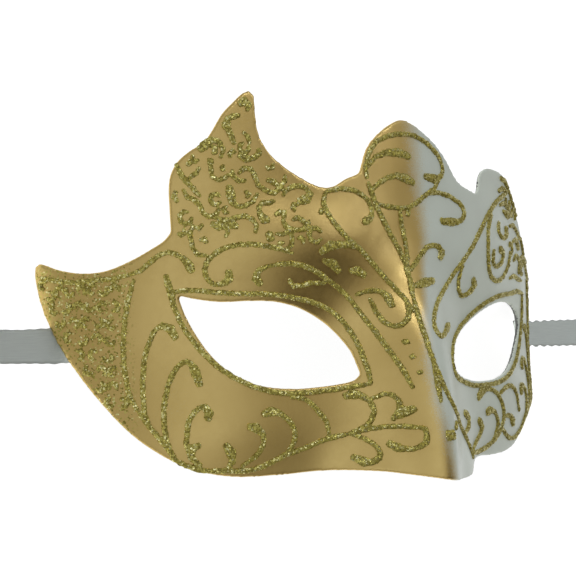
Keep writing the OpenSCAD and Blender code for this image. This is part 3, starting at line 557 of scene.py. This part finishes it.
# The flow of the glue and the heaps of flakes, as [size, height]
GLUE_LUMPS = (2.2 * MM, 0.5 * MM)
GLITTER_HEAPS = (1.0 * MM, 0.4 * MM)
GLITTER_GRAINS = (0.45 * MM, 0.3 * MM)
# Where the gold fades into white: [height up the face, place across it, half width of the fade]
FADE = np.array([
    [-49, 1.0, 3.4], [-40, -0.6, 3.6], [-30, -2.8, 3.4], [-20, -3.0, 3.2], [-10, -1.4, 2.8], [-4, 1.2, 2.8],
    [3, 3.8, 3.0], [12, 6.6, 3.8], [22, 6.0, 5.5], [40, 5.5, 6.5]]) * MM


def gold_share(co):
    """1 on the gold half, 0 on the white half."""
    across = np.interp(co[:, 1], FADE[:, 0], FADE[:, 1])
    half = np.interp(co[:, 1], FADE[:, 0], FADE[:, 2])
    t = np.clip((across - co[:, 0]) / (2 * half) + 0.5, 0, 1)
    return t * t * (3 - 2 * t)


def make_shell():
    verts, tris = cad_triangles("mask_shell")
    points, faces = rounded(verts, tris, 4)
    piece = new_piece("moulded_shell", points, faces)
    remesh(piece, SHELL_CELL, SHELL_SOFTENING)
    mesh = piece.data
    co = points_of(mesh)
    add_attribute(mesh, "gold", gold_share(co))
    # The hollow side is the side whose normal points towards the wearer's head
    normals = np.empty(len(mesh.polygons) * 3)
    mesh.polygons.foreach_get("normal", normals)
    normals = normals.reshape(-1, 3)
    centres = np.empty(len(mesh.polygons) * 3)
    mesh.polygons.foreach_get("center", centres)
    centres = centres.reshape(-1, 3)
    head = np.array([0, 0, -10 * MM])
    outward = centres - head
    outward[:, 1] *= 0.15
    outward /= np.linalg.norm(outward, axis=1, keepdims=True)
    inside = (normals * outward).sum(1) < -0.25
    mesh.materials.append(shell_paint())
    # The hollow side takes the dark grey of painted shade; the plastic there is white
    mesh.materials.append(shell_inside_painted_shade())
    mesh.polygons.foreach_set("material_index", inside.astype(np.int32))
    mesh.update()
    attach(piece, "root")
    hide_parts("mask_shell")


# ---- Glue and glitter ---------------------------------------------------------------------------
def make_glue(word):
    verts, tris = cad_triangles(f"glue_pad_{word}")
    points, faces = rounded(verts, tris, 3)
    piece = new_piece(f"hot_glue_{word}", points, faces)
    remesh(piece, GLUE_CELL, GLUE_SOFTENING)
    lumps(piece, "CLOUDS", *GLUE_LUMPS)
    piece.data.materials.append(glue_material)
    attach(piece, "root")
    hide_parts(f"glue_pad_{word}")


def make_glitter(node):
    verts, tris = cad_triangles(node)
    piece = new_piece(node.replace("_glitter", "_glitter_lines"), verts, tris)
    remesh(piece, GLITTER_CELL, GLITTER_SOFTENING)
    swell(piece, GLITTER_SWELL)
    lumps(piece, "CLOUDS", *GLITTER_HEAPS)
    lumps(piece, "VORONOI", *GLITTER_GRAINS)
    piece.data.materials.append(flake_material)
    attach(piece, "root")
    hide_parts(node)


make_shell()
glue_material = hot_glue()
for word in RIBBONS:
    make_glue(word)
flake_material = glitter_flakes()
for node in GLITTER_NODES:
    make_glitter(node)


# ---- Table and light ----------------------------------------------------------------------------
FLOOR_HALF = 3.0
FLOOR_Z = -0.2 * MM
# Lamps that mirror in the nose ridge and the brow: [name, direction from the mask, watts]
LAMP_DISTANCE = 0.9
LAMP_SIZE = 0.10
LAMP_COLOUR = (0.95, 1.0, 1.2)
LAMPS = [
    ("ridge_light", (-0.08, 0.38, 0.92), 0.36),
    ("bridge_light", (0.15, 0.48, 0.86), 0.30),
    ("brow_light", (0.45, 0.35, 0.82), 0.30),
    ("nasion_light", (0.50, 0.10, 0.86), 0.11)]


def make_floor():
    """A plain pale table, wide enough to fill the view."""
    corners = [(x * FLOOR_HALF, y * FLOOR_HALF, FLOOR_Z) for x, y in ((-1, -1), (1, -1), (1, 1), (-1, 1))]
    piece = new_piece("floor", corners, [(0, 1, 2, 3)])
    s = Shader("floor", Roughness=0.9, Emission_Strength=0.86)
    s.give("Base Color", s.mix(s.noise(20, 2.0), rgb(0.49, 0.49, 0.49), rgb(0.51, 0.51, 0.51)))
    s.give("Emission Color", rgb(1, 1, 1))
    piece.data.materials.append(s.material)


def make_light(name, towards, power):
    """A square soft light in a direction from the mask, facing it."""
    data = bpy.data.lights.new(name, "AREA")
    data.shape, data.size, data.energy, data.color = "SQUARE", LAMP_SIZE, power, LAMP_COLOUR
    light = bpy.data.objects.new(name, data)
    way = Vector(towards).normalized()
    light.location = MASK_ORIGIN + way * LAMP_DISTANCE
    light.rotation_euler = way.to_track_quat("Z", "Y").to_euler()
    bpy.context.collection.objects.link(light)


# Soft areas of the studio as they mirror in the mask: [direction, narrowness, brightness over the rest]
STUDIO_LEVEL = 0.47
STUDIO_AREAS = [
    ((-0.30, -0.23, 0.93), 7.0, 0.58),
    ((-0.76, -0.06, 0.65), 9.0, -0.15),
    ((-0.08, 0.30, 0.95), 14.0, -0.25),
    ((0.27, -0.50, 0.82), 6.0, -0.62)]
# The darker parts of the studio are warmer: how much faster green and blue fall than red
GREEN_FALL, BLUE_FALL = 0.12, 0.35


def make_world():
    """A soft studio: an even level with lighter and darker areas, warmer where it is darker."""
    world = bpy.data.worlds.new("studio")
    world.use_nodes = True
    bpy.context.scene.world = world
    nodes, links = world.node_tree.nodes, world.node_tree.links
    place = nodes.new("ShaderNodeTexCoord").outputs["Generated"]

    def calculate(operation, a, b):
        node = nodes.new("ShaderNodeMath")
        node.operation = operation
        for value, socket in ((a, node.inputs[0]), (b, node.inputs[1])):
            if isinstance(value, bpy.types.NodeSocket):
                links.new(value, socket)
            else:
                socket.default_value = value
        return node.outputs[0]

    level = STUDIO_LEVEL
    for direction, narrowness, brightness in STUDIO_AREAS:
        towards = nodes.new("ShaderNodeVectorMath")
        towards.operation = "DOT_PRODUCT"
        links.new(place, towards.inputs[0])
        towards.inputs[1].default_value = Vector(direction).normalized()
        away = calculate("SUBTRACT", towards.outputs["Value"], 1.0)
        glow = calculate("EXPONENT", calculate("MULTIPLY", away, narrowness), 0.0)
        level = calculate("ADD", level, calculate("MULTIPLY", glow, brightness))
    background = nodes["Background"]
    level = calculate("MAXIMUM", level, 0.02)
    share = calculate("DIVIDE", level, STUDIO_LEVEL)
    colour = nodes.new("ShaderNodeCombineColor")
    colour.inputs["Red"].default_value = 1.0
    links.new(calculate("POWER", share, GREEN_FALL), colour.inputs["Green"])
    links.new(calculate("POWER", share, BLUE_FALL), colour.inputs["Blue"])
    links.new(colour.outputs["Color"], background.inputs["Color"])
    links.new(level, background.inputs["Strength"])


make_floor()
make_world()
for lamp in LAMPS:
    make_light(*lamp)
bpy.context.scene.view_settings.view_transform = "Standard"
